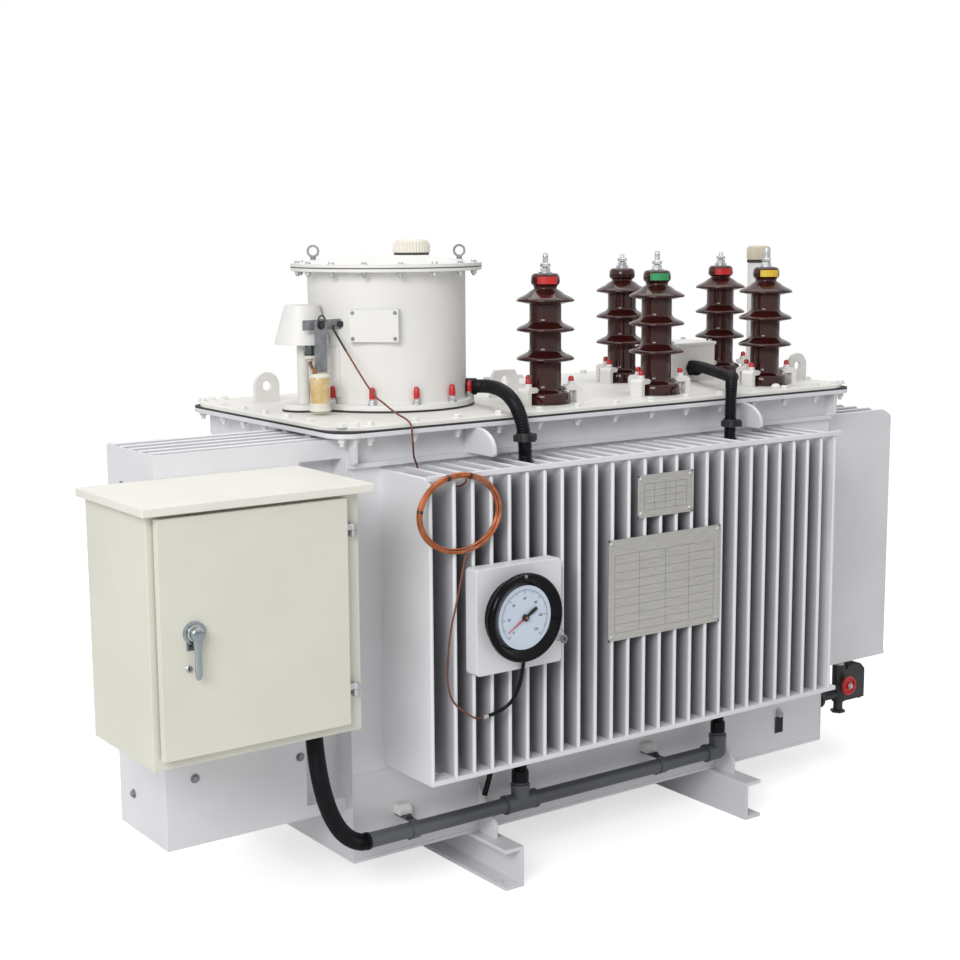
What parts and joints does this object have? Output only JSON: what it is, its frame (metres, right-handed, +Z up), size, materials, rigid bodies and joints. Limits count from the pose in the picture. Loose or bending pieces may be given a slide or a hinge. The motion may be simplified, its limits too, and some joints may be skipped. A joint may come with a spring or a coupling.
{
  "type": "step voltage regulator",
  "caption": "Oil-filled step voltage regulator on skids: finned tank, bolted cover with porcelain bushings and a tap-changer turret, and a control cabinet with an opening door.",
  "frame": {"origin": "on the ground, midway between the two skids and midway along them", "axes": "+X along the tank to the end without the cabinet, +Y to the back of the tank, +Z up; the cabinet's door and the gauge face -Y"},
  "size_m": [2.207, 1.0363, 1.364],
  "materials": {
    "light_enamel": "satin",
    "cover_enamel": "satin",
    "cabinet_enamel": "satin",
    "black_rubber": "matte",
    "porcelain": "gloss",
    "zinc_steel": "brushed",
    "ivory_plastic": "matte",
    "brass_fitting": "satin",
    "amber_jar": "gloss",
    "black_hose": "matte",
    "grey_pvc": "satin",
    "black_case": "gloss",
    "copper_tube": "satin",
    "black_iron": "satin",
    "red_enamel": "gloss"
  },
  "bodies": {
    "regulator": {"left_skid": "light_enamel", "right_skid": "light_enamel", "skid_gussets": "light_enamel", "tank_floor": "light_enamel", "tank_walls": "light_enamel", "rim_flange": "light_enamel", "rim_gussets": "light_enamel", "cover_gasket": "black_rubber", "tank_cover": "cover_enamel", "front_fins": "light_enamel", "rear_fins": "light_enamel", "right_fins": "light_enamel", "left_fins": "light_enamel", "fin_shroud": "light_enamel", "lifting_lugs": "light_enamel", "turret_gasket": "black_rubber", "turret_base": "cover_enamel", "turret_shell": "cover_enamel", "turret_lid": "cover_enamel", "lid_eyes": "zinc_steel", "lid_cap": "ivory_plastic", "turret_plate": "cover_enamel", "breather_hood": "cover_enamel", "breather_pipe": "cover_enamel", "breather_bracket": "zinc_steel", "sight_cup": "brass_fitting", "breather_tube": "brass_fitting", "breather_jar": "amber_jar", "front_bushing_1": "porcelain", "front_bushing_2": "porcelain", "front_bushing_3": "porcelain", "rear_bushing_1": "porcelain", "rear_bushing_2": "porcelain", "bushing_clamps": "cover_enamel", "terminal_box": "light_enamel", "filler_pipe": "light_enamel", "filler_cap": "ivory_plastic", "tap_hose": "black_hose", "box_hose": "black_hose", "cabinet_hose": "black_hose", "conduit": "grey_pvc", "conduit_straps": "zinc_steel", "gauge_plate": "light_enamel", "gauge_case": "black_case", "gauge_lead": "black_hose", "capillary": "copper_tube", "capillary_coil": "copper_tube", "plates": "zinc_steel", "drain_valve": "black_iron", "earth_terminal": "zinc_steel", "cabinet_body": "cabinet_enamel", "cabinet_roof": "cabinet_enamel", "cabinet_hinges": "zinc_steel"},
    "door": {"cabinet_door": "cabinet_enamel", "door_hinges": "zinc_steel"},
    "handle": {"door_handle": "zinc_steel"},
    "wheel": {"valve_wheel": "red_enamel"}
  },
  "joints": [
    {"name": "door_hinge", "type": "hinge", "parent": "regulator", "child": "door", "pos_m": [-0.8095, -0.5375, 0.6895], "axis": [0, 0, 1], "range_deg": [0, 115]},
    {"name": "handle_turn", "type": "hinge", "parent": "door", "child": "handle", "pos_m": [-1.1375, -0.5475, 0.705], "axis": [0, -1, 0], "range_deg": [0, 90]},
    {"name": "wheel_spin", "type": "hinge", "parent": "regulator", "child": "wheel", "pos_m": [0.8165, -0.2895, 0.215], "axis": [0, 1, 0], "continuous": true}
  ]
}
